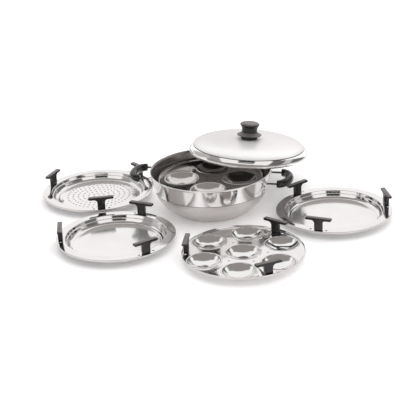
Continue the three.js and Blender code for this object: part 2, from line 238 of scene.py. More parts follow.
# Several straight bits in one tool: each is a place, a radius and a length
def drillBits(bits, sides=16):
    clearSelection()
    tool = None
    for (x, y, z), radius, length in bits:
        size = {"vertices": sides, "radius": radius * mm, "depth": length * mm}
        bpy.ops.mesh.primitive_cylinder_add(location=(x * mm, y * mm, z * mm), **size)
        if tool is None:
            tool = bpy.context.object
            pick(tool)
            bpy.ops.object.transform_apply(location=True, rotation=True, scale=True)
            bpy.ops.object.mode_set(mode="EDIT")
    endEdit()
    return tool


def carve(piece, tool, how="DIFFERENCE"):
    pick(piece)
    bpy.ops.object.modifier_add(type="BOOLEAN")
    step = piece.modifiers[-1]
    step.operation = how
    step.solver = "EXACT"
    step.object = tool
    bpy.ops.object.modifier_apply(modifier=step.name)
    dropPiece(tool)


# Merges the slivers that a cut can leave
def cleanCut(piece):
    startEdit(piece)
    bpy.ops.mesh.remove_doubles(threshold=2 * seam)
    bpy.ops.mesh.dissolve_degenerate(threshold=2 * seam)
    endEdit()


def softenEdges(piece, width, segments=3, angle=35):
    pick(piece)
    bpy.ops.object.modifier_add(type="BEVEL")
    step = piece.modifiers[-1]
    step.width = width * mm
    step.segments = segments
    step.limit_method = "ANGLE"
    step.angle_limit = math.radians(angle)
    bpy.ops.object.modifier_apply(modifier=step.name)


# Shader building

def addNode(tree, kind, values=None, **settings):
    node = tree.nodes.new(kind)
    for key, value in settings.items():
        setattr(node, key, value)
    for key, value in (values or {}).items():
        if isinstance(value, bpy.types.NodeSocket):
            tree.links.new(value, node.inputs[key])
        else:
            node.inputs[key].default_value = value
    return node


def calc(tree, operation, *values):
    return addNode(tree, "ShaderNodeMath", dict(enumerate(values)), operation=operation).outputs[0]


def between(tree, value, least, most):
    return calc(tree, "MULTIPLY", calc(tree, "GREATER_THAN", value, least), calc(tree, "LESS_THAN", value, most))


def spreadOut(tree, value, low, high, bottom=0.0, top=1.0, kind="LINEAR"):
    span = {"Value": value, "From Min": low, "From Max": high, "To Min": bottom, "To Max": top}
    return addNode(tree, "ShaderNodeMapRange", span, interpolation_type=kind).outputs[0]


def mixTone(tree, factor, first, second):
    values = {"Factor": factor, "A": first, "B": second}
    return addNode(tree, "ShaderNodeMix", values, data_type="RGBA").outputs["Result"]


# The first input is a place and the others are numbers, as all outputs are
def newGroup(name, inputs, outputs):
    tree = bpy.data.node_groups.new(name, "ShaderNodeTree")
    for label in inputs:
        kind = "NodeSocketVector" if label == inputs[0] else "NodeSocketFloat"
        tree.interface.new_socket(label, in_out="INPUT", socket_type=kind)
    for label in outputs:
        tree.interface.new_socket(label, in_out="OUTPUT", socket_type="NodeSocketFloat")
    return tree, tree.nodes.new("NodeGroupInput").outputs, tree.nodes.new("NodeGroupOutput").inputs


# Fine rings that a buffing wheel leaves on a spun piece
def makeSpunMarks():
    tree, given, result = newGroup("spunMarks", ["Spots", "Rings", "Breaks"], ["Marks"])
    parts = addNode(tree, "ShaderNodeSeparateXYZ", {"Vector": given["Spots"]}).outputs
    flat = addNode(tree, "ShaderNodeCombineXYZ", {"X": parts["X"], "Y": parts["Y"]}).outputs[0]
    reach = addNode(tree, "ShaderNodeVectorMath", {0: flat}, operation="LENGTH").outputs["Value"]
    heading = addNode(tree, "ShaderNodeVectorMath", {0: flat}, operation="NORMALIZE").outputs[0]
    spread = addNode(tree, "ShaderNodeVectorMath", {0: heading, "Scale": given["Breaks"]}, operation="SCALE")
    ring = calc(tree, "MULTIPLY", calc(tree, "ADD", reach, parts["Z"]), given["Rings"])
    lift = addNode(tree, "ShaderNodeCombineXYZ", {"Z": ring})
    spot = addNode(tree, "ShaderNodeVectorMath", {0: spread.outputs[0], 1: lift.outputs[0]}, operation="ADD")
    noise = addNode(tree, "ShaderNodeTexNoise", {"Vector": spot.outputs[0], "Scale": 1.0, "Detail": 3.0})
    tree.links.new(noise.outputs["Fac"], result["Marks"])
    return tree


# Soft patches where hands and cloths have dulled the polish
def makeWipedHaze():
    tree, given, result = newGroup("wipedHaze", ["Spots", "Size"], ["Haze"])
    noise = addNode(tree, "ShaderNodeTexNoise", {"Vector": given["Spots"], "Scale": given["Size"], "Detail": 4.0,
                                                 "Roughness": 0.55})
    tree.links.new(spreadOut(tree, noise.outputs["Fac"], 0.36, 0.68), result["Haze"])
    return tree


# Skin of a pressed phenolic moulding: fine grain and slow clouding
def makeMouldGrain():
    tree, given, result = newGroup("mouldGrain", ["Spots", "Grain", "Cloud"], ["Height", "Clouding"])
    fine = addNode(tree, "ShaderNodeTexNoise", {"Vector": given["Spots"], "Scale": given["Grain"], "Detail": 2.0})
    slow = addNode(tree, "ShaderNodeTexNoise", {"Vector": given["Spots"], "Scale": given["Cloud"], "Detail": 3.0})
    tree.links.new(fine.outputs["Fac"], result["Height"])
    tree.links.new(spreadOut(tree, slow.outputs["Fac"], 0.35, 0.66), result["Clouding"])
    return tree


spunMarks = makeSpunMarks()
wipedHaze = makeWipedHaze()
mouldGrain = makeMouldGrain()


def newFinish(name):
    finish = bpy.data.materials.new(name)
    finish.use_nodes = True
    return finish, finish.node_tree, finish.node_tree.nodes["Principled BSDF"]


def coat(tree, shader, tone, rough, height, strength):
    bump = addNode(tree, "ShaderNodeBump", {"Height": height, "Strength": strength, "Distance": 0.0002})
    for key, value in (("Base Color", tone), ("Roughness", rough), ("Normal", bump.outputs["Normal"])):
        tree.links.new(value, shader.inputs[key])


def makeSteel(name, look):
    finish, tree, shader = newFinish(name)
    shader.inputs["Metallic"].default_value = look["metal"]
    spots = addNode(tree, "ShaderNodeAttribute", attribute_name="turned").outputs["Vector"]
    place = addNode(tree, "ShaderNodeTexCoord").outputs["Object"]
    rings = {"Spots": spots, "Rings": look["rings"], "Breaks": look["breaks"]}
    marks = addNode(tree, "ShaderNodeGroup", rings, node_tree=spunMarks).outputs["Marks"]
    patches = {"Spots": place, "Size": look["hazeSize"]}
    haze = addNode(tree, "ShaderNodeGroup", patches, node_tree=wipedHaze).outputs["Haze"]
    tone = mixTone(tree, haze, look["bright"], look["dull"])
    if "shade" in look:  # painted shade: the face darkens where it turns away from the eye
        turn = addNode(tree, "ShaderNodeLayerWeight", {"Blend": 0.5}).outputs["Facing"]
        tone = mixTone(tree, spreadOut(tree, turn, look["shadeFrom"], look["shadeTo"]), tone, look["shade"])
    rough = spreadOut(tree, marks, 0.3, 0.7, look["smooth"], look["rough"])
    coat(tree, shader, tone, calc(tree, "MULTIPLY_ADD", haze, look["hazeRough"], rough), marks, look["bump"])
    return finish


def makeBakelite(name, look):
    finish, tree, shader = newFinish(name)
    shader.inputs["Specular IOR Level"].default_value = look["gloss"]
    place = addNode(tree, "ShaderNodeTexCoord").outputs["Object"]
    skin = {"Spots": place, "Grain": look["grain"], "Cloud": look["cloud"]}
    grain = addNode(tree, "ShaderNodeGroup", skin, node_tree=mouldGrain).outputs
    tone = mixTone(tree, grain["Clouding"], look["dark"], look["pale"])
    rough = spreadOut(tree, grain["Clouding"], 0.0, 1.0, look["smooth"], look["rough"])
    coat(tree, shader, tone, rough, grain["Height"], look["bump"])
    return finish


mirrorLook = {"bright": (0.88, 0.868, 0.862, 1), "dull": (0.845, 0.832, 0.825, 1), "smooth": 0.05, "rough": 0.10,
              "hazeRough": 0.03, "hazeSize": 16.0, "rings": 1400.0, "breaks": 1.6, "bump": 0.05, "metal": 1.0}
# painted shade: darker copies of the polished steel for the cups and the sheet of the idli plates inside the pot
shadedCupLook = {**mirrorLook, "bright": (0.68, 0.655, 0.64, 1), "dull": (0.60, 0.578, 0.565, 1), "smooth": 0.07,
           "rough": 0.13, "metal": 0.88}
shadedFlatLook = {**mirrorLook, "bright": (0.37, 0.352, 0.342, 1), "dull": (0.32, 0.304, 0.295, 1), "smooth": 0.07,
            "rough": 0.13}
# painted light: a brighter, part diffuse copy of the polished steel for the pans' floors
litPanFloorLook = {**mirrorLook, "bright": (0.90, 0.89, 0.885, 1), "dull": (0.865, 0.855, 0.85, 1), "smooth": 0.08,
             "rough": 0.14, "metal": 0.8}
# painted shade: a darker copy of the steel for the inside of the pot
innerShadeLook = {"bright": (0.58, 0.55, 0.53, 1), "dull": (0.50, 0.475, 0.46, 1), "smooth": 0.10, "rough": 0.18,
              "hazeRough": 0.04, "hazeSize": 16.0, "rings": 1100.0, "breaks": 1.4, "bump": 0.08, "metal": 0.85}
shadedLook = {**innerShadeLook, "bright": (0.13, 0.122, 0.117, 1), "dull": (0.10, 0.094, 0.09, 1), "smooth": 0.14,
              "rough": 0.24, "metal": 1.0}
satinLook = {"bright": (0.66, 0.635, 0.62, 1), "dull": (0.60, 0.575, 0.56, 1), "smooth": 0.26, "rough": 0.38,
             "hazeRough": 0.05, "hazeSize": 18.0, "rings": 1100.0, "breaks": 1.2, "bump": 0.16, "metal": 0.86}
domeLook = {"bright": (0.95, 0.945, 0.94, 1), "dull": (0.92, 0.915, 0.91, 1), "smooth": 0.28, "rough": 0.36,
            "hazeRough": 0.03, "hazeSize": 14.0, "rings": 1200.0, "breaks": 1.2, "bump": 0.06, "metal": 0.3,
            "shade": (0.62, 0.60, 0.595, 1), "shadeFrom": 0.56, "shadeTo": 0.90}
bakeliteLook = {"dark": (0.005, 0.0042, 0.004, 1), "pale": (0.011, 0.0095, 0.009, 1), "smooth": 0.15, "rough": 0.24,
                "gloss": 0.5, "grain": 900.0, "cloud": 60.0, "bump": 0.10}
# painted light: a paler copy of the bakelite for upper faces
litTopLook = {**bakeliteLook, "dark": (0.11, 0.101, 0.097, 1), "pale": (0.165, 0.153, 0.148, 1), "smooth": 0.30,
            "rough": 0.42, "bump": 0.14}
mirrorSteel = makeSteel("mirrorSteel", mirrorLook)
cupSteel = makeSteel("cupSteel", shadedCupLook)
flatSteel = makeSteel("flatSteel", shadedFlatLook)
litPanFloorSteel = makeSteel("litPanFloorSteel", litPanFloorLook)
innerShadeSteel = makeSteel("innerShadeSteel", innerShadeLook)
shadedSteel = makeSteel("shadedSteel", shadedLook)
satinSteel = makeSteel("satinSteel", satinLook)
domeSteel = makeSteel("domeSteel", domeLook)
bakelite = makeBakelite("bakelite", bakeliteLook)
litTopBakelite = makeBakelite("litTopBakelite", litTopLook)
print("finishes made")


# Pot

pot = {"height": 92, "lipRadius": 133.5, "lipWidth": 2.5, "lipFlat": 0.8, "creaseRadius": 125, "creaseHeight": 52,
       "creaseStep": 0.8, "creaseLine": 1.0, "satinLap": 0.2, "floorRadius": 88, "floorHeight": 4,
       "bulgePull": (115, 22), "wall": 1.5, "baseRadius": 84, "baseBevel": 1.3, "turns": 160}


def potSheet():
    lip = pot["height"] - pot["wall"]
    floorEdge = (pot["floorRadius"], pot["floorHeight"])
    crease = (pot["creaseRadius"], pot["creaseHeight"])
    bulge = curvePoints(floorEdge, pot["bulgePull"], crease, 16)
    return [(0, pot["floorHeight"]), (*floorEdge, 2), *bulge[:-1], (*crease, 0.4),
            (crease[0] + pot["creaseStep"], crease[1] + pot["creaseStep"], 0.5),
            (pot["lipRadius"] - pot["lipWidth"], lip - pot["lipWidth"], 1.6),
            (pot["lipRadius"] - pot["lipFlat"], lip, 0.5), (pot["lipRadius"], lip)]


potShell = spinPiece("potShell", sheetPath(potSheet(), pot["wall"], 0.6), pot["turns"])
keepTurned(potShell)
smooth(potShell)
addFinishes(potShell, mirrorSteel, satinSteel, innerShadeSteel, shadedSteel)
for face in potShell.data.polygons:  # satin on the outer bowl up to the crease, painted shade along the crease line and painted shade inside
    outward = face.normal.x * face.center.x + face.normal.y * face.center.y
    rise = face.center.z / mm - pot["creaseHeight"]
    low = rise < pot["satinLap"]
    if outward > 0 and abs(rise) < pot["creaseLine"]:
        face.material_index = 3
    elif low and (outward > 0 or face.normal.z < -0.9):
        face.material_index = 1
    elif outward < 0 or low:
        face.material_index = 2
dress(potShell, "pot", "polished_steel", mirrorSteel, "pot_shell")

baseEdge = pot["baseRadius"]
basePlate = spinPiece("potBasePlate", roundCorners([
    (0, 0), (baseEdge - pot["baseBevel"], 0, 0.6), (baseEdge, pot["baseBevel"], 0.6),
    (baseEdge, pot["floorHeight"], 0.3), (0, pot["floorHeight"])]), 128)
keepTurned(basePlate)
smooth(basePlate)
dress(basePlate, "pot", "satin_steel", satinSteel, "pot_base_plate")
print("pot made")


# Pot handles, drawn along X and turned to their places

handle = {"height": 76, "halfGap": 34, "wallRadius": 129.23, "taper": 8.41, "bossRadius": 4.2, "bossLength": 7,
          "rodRadius": 2.1, "rodReach": 26, "socket": 5, "socketRadius": 2.5, "drill": 12, "earWidth": 11,
          "earHeight": 25, "earThickness": 1.8, "earDrop": 5, "earSink": 0.8, "earEdge": 0.6, "gripReach": 22,
          "gripEnd": 8.2, "gripMiddle": 9, "gripSteps": 32, "rivetRadius": 1.8, "rivetRise": 1.0, "rivetFoot": 0.15,
          "rivetSink": 0.4, "rivetDrops": (7.5, 14.0), "toolBelow": 8, "toolAbove": 4, "gap": 0.3}
handleRoot = math.sqrt(handle["wallRadius"] ** 2 - handle["halfGap"] ** 2)
bossEnd = handleRoot + handle["bossLength"]
gripStart = bossEnd + handle["rodReach"] - handle["socket"]
alongX = Matrix.Rotation(math.pi / 2, 4, "Y")


# A place on a rod's line: side is -1 or 1, or 0 for halfway between the rods
def rodPlace(reach, side):
    return Matrix.Translation((reach * mm, side * handle["halfGap"] * mm, handle["height"] * mm)) @ alongX


# The pot's wall with a little room round it, from below the crease to above the lip
def wallTool():
    slope = math.tan(math.radians(handle["taper"]))
    low, high = pot["creaseHeight"] - handle["toolBelow"], pot["height"] + handle["toolAbove"]
    edges = [handle["wallRadius"] + (z - handle["height"]) * slope + handle["gap"] for z in (low, high)]
    return spinPiece("wallTool", [(0, low), (edges[0], low), (edges[1], high), (0, high)], pot["turns"])


# Where the ear's own plane stands on the wall, for one side
def earPlace(side):
    lean = Matrix.Rotation(math.radians(handle["taper"]), 4, "Y")
    out = Matrix.Translation((handle["wallRadius"] * mm, 0, handle["height"] * mm))
    return turnZ(side * math.asin(handle["halfGap"] / handle["wallRadius"])) @ out @ lean


# The hole that a rod's end sits in
def drillSocket(piece, side, middle):
    half, edge = handle["drill"] / 2, handle["socketRadius"]
    tool = spinPiece("socket", [(0, -half), (edge, -half), (edge, half), (0, half)], 24)
    setPlace(tool, rodPlace(middle, side))
    carve(piece, tool)


def makeEar(side):
    endRadius = handle["earWidth"] / 2
    stretch = (handle["earHeight"] / 2 - endRadius) * mm
    clearSelection()
    bpy.ops.mesh.primitive_circle_add(vertices=40, radius=endRadius * mm, fill_type="NGON",
                                      rotation=(0, math.pi / 2, 0))
    ear = bpy.context.object
    bpy.ops.object.transform_apply(location=True, rotation=True, scale=True)
    for direction in (-1, 1):
        startEdit(ear, "DESELECT")
        endEdit()
        for vertex in ear.data.vertices:
            vertex.select = vertex.co.z * direction > 0.01 * mm
        bpy.ops.object.mode_set(mode="EDIT")
        bpy.ops.transform.translate(value=(0, 0, direction * stretch))
        endEdit()
    startEdit(ear)
    bpy.ops.transform.translate(value=(-handle["earSink"] * mm, 0, -handle["earDrop"] * mm))
    deep = (handle["earThickness"] + handle["earSink"]) * mm
    bpy.ops.mesh.extrude_region_move(TRANSFORM_OT_translate={"value": (deep, 0, 0)})
    bpy.ops.mesh.select_all(action="SELECT")
    bpy.ops.mesh.normals_make_consistent(inside=False)
    endEdit()
    softenEdges(ear, handle["earEdge"])
    setPlace(ear, earPlace(side))
    length = 2 * handle["bossLength"]
    boss = spinPiece("boss", roundCorners([
        (0, 0), (handle["bossRadius"], 0), (handle["bossRadius"], length, 0.9), (0, length)]), 32)
    setPlace(boss, rodPlace(bossEnd - length, side))
    carve(ear, boss, "UNION")
    carve(ear, wallTool())
    drillSocket(ear, side, bossEnd - handle["socket"] + handle["drill"] / 2)
    return ear


def makeRivets(side):
    edge, low = handle["rivetRadius"], -handle["rivetSink"]
    foot, top = handle["rivetFoot"], handle["rivetRise"]
    rivet = spinPiece("rivet", [(0, low), (edge, low), (edge, foot),
                                *curvePoints((edge, foot), (edge, top), (0, top), 6)], 24)
    faceOut = Matrix.Translation((handle["earThickness"] * mm, 0, 0))
    rivets = [copyTo(rivet, "rivet", earPlace(side) @ faceOut @ Matrix.Translation((0, 0, -drop * mm)) @ alongX)
              for drop in handle["rivetDrops"]]
    dropPiece(rivet)
    return joinPieces(rivets)


def makeRod():
    start = bossEnd - handle["socket"] + handle["gap"]
    end = gripStart + handle["socket"] - handle["gap"]
    rod = spinPiece("rod", roundCorners([(0, 0), (handle["rodRadius"], 0, 0.4),
                                         (handle["rodRadius"], end - start, 0.4), (0, end - start)]), 32)
    keepTurned(rod)
    setPlace(rod, rodPlace(start, 0))
    return rod


# A round section pulled along half an ellipse, thickest in the middle, with rounded ends
def makeGrip():
    stations = []
    for i in range(handle["gripSteps"] + 1):
        sweep = math.pi * i / handle["gripSteps"]
        bow = math.sin(sweep)
        middle = Vector((gripStart + handle["gripReach"] * bow, -handle["halfGap"] * math.cos(sweep), handle["height"]))
        heading = math.atan2(handle["halfGap"] * math.sin(sweep), handle["gripReach"] * math.cos(sweep))
        radius = handle["gripEnd"] + (handle["gripMiddle"] - handle["gripEnd"]) * bow
        stations.append((middle * mm, heading, radius))
    ends = [(0.0, 0.80), (0.45, 0.92), (1.2, 1.0)]  # depth and share of the radius at each rounded end
    along = Vector((1, 0, 0)) * mm
    first = [(stations[0][0] + along * d, 0.0, stations[0][2] * share) for d, share in ends]
    last = [(stations[-1][0] + along * d, math.pi, stations[-1][2] * share) for d, share in ends]
    stations = [*first, *stations[2:-2], *last[::-1]]
    clearSelection()
    middle, heading, radius = stations[0]
    bpy.ops.mesh.primitive_circle_add(vertices=32, radius=radius * mm, fill_type="NGON", location=middle,
                                      rotation=(0, math.pi / 2, 0))
    grip = bpy.context.object
    bpy.ops.object.transform_apply(location=True, rotation=True, scale=True)
    startEdit(grip)
    for before, after in zip(stations, stations[1:]):
        bpy.ops.mesh.extrude_region_move(TRANSFORM_OT_translate={"value": after[0] - before[0]})
        turn = after[1] - before[1]
        if abs(turn) > 1e-6:
            bpy.ops.transform.rotate(value=-turn, orient_axis="Z", center_override=after[0])
        share = after[2] / before[2]
        bpy.ops.transform.resize(value=(share, share, share), center_override=after[0])
    bpy.ops.mesh.select_all(action="SELECT")
    bpy.ops.mesh.normals_make_consistent(inside=False)
    endEdit()
    for side in (-1, 1):
        drillSocket(grip, side, gripStart + handle["socket"] - handle["drill"] / 2)
    return grip


ears = {"a": makeEar(-1), "b": makeEar(1)}
rivetPairs = {"a": makeRivets(-1), "b": makeRivets(1)}
rodMaster = makeRod()
gripMaster = makeGrip()
for piece in (*ears.values(), *rivetPairs.values()):
    keepTurned(piece)
for sideName in ("right", "left"):
    spot = middleOf(f"{sideName}_handle_grip")
    turned = turnZ(math.atan2(spot.y, spot.x))
    for letter, side in (("a", -1), ("b", 1)):
        ear = copyTo(ears[letter], f"{sideName}HandleEar{letter.upper()}", turned)
        smooth(ear)
        dress(ear, "pot", "polished_steel", mirrorSteel, f"{sideName}_handle_ear_{letter}")
        rivets = copyTo(rivetPairs[letter], f"{sideName}HandleRivets{letter.upper()}", turned)
        smooth(rivets)
        dress(rivets, "pot", "polished_steel", shadedSteel)
        shift = Matrix.Translation((0, side * handle["halfGap"] * mm, 0))
        rod = copyTo(rodMaster, f"{sideName}HandleRod{letter.upper()}", turned @ shift)
        smooth(rod)
        dress(rod, "pot", "polished_steel", shadedSteel, f"{sideName}_handle_rod_{letter}")
    grip = copyTo(gripMaster, f"{sideName}HandleGrip", turned)
    smooth(grip, 40)
    dress(grip, "pot", "bakelite", bakelite, f"{sideName}_handle_grip")
for piece in (*ears.values(), *rivetPairs.values(), rodMaster, gripMaster):
    dropPiece(piece)
print("handles made")


# Screws: the head's underside is at height 0 and the shank points up

screw = {"radius": 2, "headRadius": 3.8, "headHeight": 2, "headEdge": 0.4, "tip": 0.6, "tipInset": 0.5,
         "slotWidth": 0.9, "slotDepth": 0.8, "slotLength": 10, "clearance": 0.4}


def makeScrew(length):
    head, low, shank = screw["headRadius"], -screw["headHeight"], screw["radius"]
    piece = spinPiece("screw", [
        (0, low), *curvePoints((0, low), (head, low), (head, -screw["headEdge"]), 8), (head, 0), (shank, 0),
        (shank, length - screw["tip"]), (shank - screw["tipInset"], length), (0, length)], 32)
    clearSelection()
    bpy.ops.mesh.primitive_cube_add(size=mm, location=(0, 0, low * mm))
    slot = bpy.context.object
    slot.scale = (screw["slotLength"], screw["slotWidth"], 2 * screw["slotDepth"])
    bpy.ops.object.transform_apply(location=True, rotation=True, scale=True)
    carve(piece, slot)
    keepTurned(piece)
    return piece


# Lid

lid = {"radius": 136, "wall": 1, "ringRadius": 126.5, "ringHeight": 15.8, "domeRise": 16.6, "shoulder": 117,
       "ringLine": 0.8, "skirtPull": (1.1, -0.8), "seatRadius": 20, "brimWidth": 4, "brimHeight": 4, "gap": 0.3,
       "turns": 180}
knob = {"baseRadius": 19, "baseHeight": 6, "collarRadius": 28, "collarThickness": 6, "collarEdge": (2, 3), "slope": 5,
        "slopePull": 2, "waistRadius": 17.3, "topRadius": 22, "topEdge": 2.5, "topBevel": 4, "height": 36.5,
        "screwDepth": 12, "turns": 64}
washer = {"radius": 10, "thickness": 1.5, "hole": 2.4, "drill": 8}
lidAxis = (middleOf("lid_knob") - middleOf("lid_screw")).normalized()
lidLow = min(corner.dot(lidAxis) for corner in cornersOf("lid_shell"))
lidFoot = middleOf("lid_knob") + lidAxis * (lidLow - middleOf("lid_knob").dot(lidAxis))
lidPlace = Matrix.Translation(lidFoot) @ Vector((0, 0, 1)).rotation_difference(lidAxis).to_matrix().to_4x4()
lidSeat = lid["ringHeight"] + lid["domeRise"] - lid["wall"]


def raised(height):
    return lidPlace @ Matrix.Translation((0, 0, height * mm))


def lidSheet():
    ring = (lid["ringRadius"], lid["ringHeight"] - lid["wall"])
    seat = (lid["seatRadius"], lidSeat)
    dome = curvePoints(seat, (lid["shoulder"], lidSeat), ring, 28)
    brim = (lid["radius"] - lid["brimWidth"], lid["brimHeight"] - lid["wall"])
    edge = lid["radius"] - lid["wall"]
    pull = lid["skirtPull"]
    skirt = curvePoints(ring, (ring[0] + pull[0], (ring[1] + brim[1]) / 2 + pull[1]), brim, 10)
    return [(0, lidSeat), seat, *dome[:-1], (*ring, 0.7), *skirt[:-1], (*brim, 0.8), (edge, brim[1], 0.7), (edge, 0)]


lidShell = spinPiece("lidShell", sheetPath(lidSheet(), lid["wall"]), lid["turns"])
carve(lidShell, drillBits([((0, 0, lidSeat), washer["hole"], washer["drill"])], 24))
keepTurned(lidShell)
setPlace(lidShell, lidPlace)
smooth(lidShell)
addFinishes(lidShell, mirrorSteel, domeSteel, shadedSteel)
for face in lidShell.data.polygons:  # a brushed dome, a polished skirt and brim, painted shade on the underside and along the ring line
    spot = face.center - lidFoot
    reach = (spot - lidAxis * spot.dot(lidAxis)).length / mm
    if reach < lid["ringRadius"] - 0.4:
        face.material_index = 1 if face.normal.dot(lidAxis) > 0 else 2
    elif reach < lid["ringRadius"] + lid["ringLine"]:
        face.material_index = 2
dress(lidShell, "lid", "polished_steel", mirrorSteel, "lid_shell")

collarTop = knob["baseHeight"] + knob["collarThickness"]
collarEdge = [(knob["collarRadius"], knob["baseHeight"] + rise) for rise in knob["collarEdge"]]
topLow = knob["height"] - knob["topEdge"]
flare = (knob["topRadius"], topLow - knob["topEdge"])
waistLow = (knob["waistRadius"], collarTop + knob["slope"])
slope = curvePoints(collarEdge[1], (knob["waistRadius"] + knob["slopePull"], collarTop), waistLow, 10)
waist = curvePoints(waistLow, (knob["waistRadius"], (waistLow[1] + topLow) / 2), flare, 12)
lidKnob = spinPiece("lidKnob", roundCorners([
    (0, 0), (knob["baseRadius"], 0, 0.7), (knob["baseRadius"], knob["baseHeight"], 1.0),
    *((*corner, 1.2) for corner in collarEdge), *slope, *waist[:-1], (*flare, 1.2), (knob["topRadius"], topLow, 1.4),
    (knob["topRadius"] - knob["topBevel"], knob["height"], 2.2), (0, knob["height"])]), knob["turns"])
knobHole = ((0, 0, 0), screw["radius"] + screw["clearance"], 2 * knob["screwDepth"] + 2 * lid["gap"])
carve(lidKnob, drillBits([knobHole], 24))
knobSeat = lidSeat + lid["wall"] + lid["gap"]
setPlace(lidKnob, raised(knobSeat))
smooth(lidKnob)
paintLitTops(lidKnob, lidAxis)
dress(lidKnob, "lid", "bakelite", bakelite, "lid_knob")

washerLow = lidSeat - lid["gap"] - washer["thickness"]
lidWasher = spinPiece("lidWasher", roundCorners([
    (washer["hole"], 0), (washer["radius"], 0, 0.3), (washer["radius"], washer["thickness"], 0.3),
    (washer["hole"], washer["thickness"]), (washer["hole"], 0)]), 48)
keepTurned(lidWasher)
setPlace(lidWasher, raised(washerLow))
smooth(lidWasher)
dress(lidWasher, "lid", "polished_steel", mirrorSteel, "lid_washer")

screwSeat = washerLow - lid["gap"]
lidScrew = makeScrew(knobSeat + knob["screwDepth"] - screwSeat)
setPlace(lidScrew, raised(screwSeat))
lidScrew.name = "lidScrew"
smooth(lidScrew)
dress(lidScrew, "lid", "polished_steel", mirrorSteel, "lid_screw")
print("lid made")


# Stack handles: a T with filleted arms, standing on its stem

tee = {"barLength": 56, "barThickness": 6, "depth": 10, "stemWidth": 17, "fillet": 7, "edge": 1.5,
       "screwDepth": 12, "gap": 0.3, "count": 3, "vent": 17, "ventRadius": 2.5, "drill": 6}


def makeTee(height):
    half = tee["stemWidth"] / 2
    end = tee["barThickness"] / 2
    under = height - tee["barThickness"]
    arm = tee["barLength"] / 2 - end
    right = [(half, 0), *arcPoints((half + tee["fillet"], under - tee["fillet"]), tee["fillet"], 180, 90, 8),
             *arcPoints((arm, under + end), end, -90, 90, 10)]
    outline = right + [(-x, z) for x, z in reversed(right)]
    piece = drawLine("tee", [(-tee["depth"] / 2, y, z) for y, z in outline])
    bpy.ops.mesh.select_all(action="SELECT")
    bpy.ops.mesh.edge_face_add()
    bpy.ops.mesh.extrude_region_move(TRANSFORM_OT_translate={"value": (tee["depth"] * mm, 0, 0)})
    bpy.ops.mesh.select_all(action="SELECT")
    bpy.ops.mesh.remove_doubles(threshold=seam)
    bpy.ops.mesh.normals_make_consistent(inside=False)
    endEdit()
    softenEdges(piece, tee["edge"], 3, 50)
    hole = ((0, 0, 0), screw["radius"] + screw["clearance"], 2 * tee["screwDepth"] + 2 * tee["gap"])
    carve(piece, drillBits([hole], 20))
    return piece


def heightOf(node):
    low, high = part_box(node)
    return (high.z - low.z) / mm


teeMasters = {"plate": makeTee(heightOf("steamer_stack_handle_1")),
              "inside": makeTee(heightOf("lower_idli_stack_handle_1"))}
plateWall = 1  # sheet that the stack handles are screwed to
teeScrewMaster = makeScrew(plateWall + 2 * tee["gap"] + tee["screwDepth"])


def addStackHandles(name, pieceName, body, centre, kind="plate"):
    for number in range(1, tee["count"] + 1):
        node = f"{name}_stack_handle_{number}"
        spot = middleOf(node)
        turned = turnZ(turnTo(spot, centre))
        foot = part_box(node)[0].z
        piece = copyTo(teeMasters[kind], f"{pieceName}StackHandle{number}",
                       Matrix.Translation((spot.x, spot.y, foot)) @ turned)
        smooth(piece, 40)
        paintLitTops(piece, Vector((0, 0, 1)))
        dress(piece, body, "bakelite", bakelite, node)
        headSeat = foot - (plateWall + 2 * tee["gap"]) * mm
        fastener = copyTo(teeScrewMaster, f"{pieceName}StackScrew{number}",
                          Matrix.Translation((spot.x, spot.y, headSeat)) @ turned)
        smooth(fastener)
        dress(fastener, body, "polished_steel", mirrorSteel, f"{name}_stack_screw_{number}")


def plateCentre(node):
    low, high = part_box(node)
    return Vector(((low.x + high.x) / 2, (low.y + high.y) / 2, low.z))


def plateTurn(name, centre):
    return turnTo(middleOf(f"{name}_stack_handle_1"), centre)


# Holes under the stack handles: one for the screw and a vent on each side
def stackBits(seatRadius, height):
    holes = {0: screw["radius"] + screw["clearance"], -tee["vent"]: tee["ventRadius"], tee["vent"]: tee["ventRadius"]}
    bits = []
    for number in range(tee["count"]):
        turned = Matrix.Rotation(2 * math.pi * number / tee["count"], 2)
        for side, radius in holes.items():
            spot = turned @ Vector((seatRadius, side))
            bits.append(((spot.x, spot.y, height), radius, tee["drill"]))
    return bits


# Pans: a flat floor, a stepped wall and a wide flange whose edge is turned down

pan = {"radius": 125, "height": 18, "wall": 1, "edgeDrop": 4, "flange": 18, "floorInset": 8, "corner": 6,
       "cornerRise": 3, "ledgeHeight": 10.2, "ledgeInset": 1.6, "ledge": 1.4, "ledgeRise": 0.5, "seatInset": 9,
       "turns": 144}
strainer = {"rings": 6, "pitch": 11.8, "spacing": 10.5, "twist": 0.37, "holeRadius": 2.0, "drill": 4, "rise": 2.2,
            "stepTop": 4, "stepFoot": 1.5}


def panSheet(rise):
    flangeInner = pan["radius"] - pan["flange"]
    floorEdge = flangeInner - pan["floorInset"]
    bend = floorEdge - pan["corner"]
    top = pan["height"] - pan["wall"]
    edge = pan["radius"] - pan["wall"]
    corner = curvePoints((bend, 0), (floorEdge, 0), (floorEdge + pan["cornerRise"], pan["corner"]), 8)
    ledge = (floorEdge + pan["cornerRise"] + pan["ledgeInset"], pan["ledgeHeight"])
    floor = [(0, 0), (bend, 0)]
    if rise:  # the strainer's floor stands a little higher
        floor = [(0, rise), (bend - strainer["stepTop"], rise, 0.8), (bend - strainer["stepFoot"], 0, 0.8)]
    return [*floor, *corner, (*ledge, 0.5), (ledge[0] + pan["ledge"], ledge[1] + pan["ledgeRise"], 0.5),
            (flangeInner, top, 1.2), (edge, top, 1.0), (edge, pan["height"] - pan["edgeDrop"])]


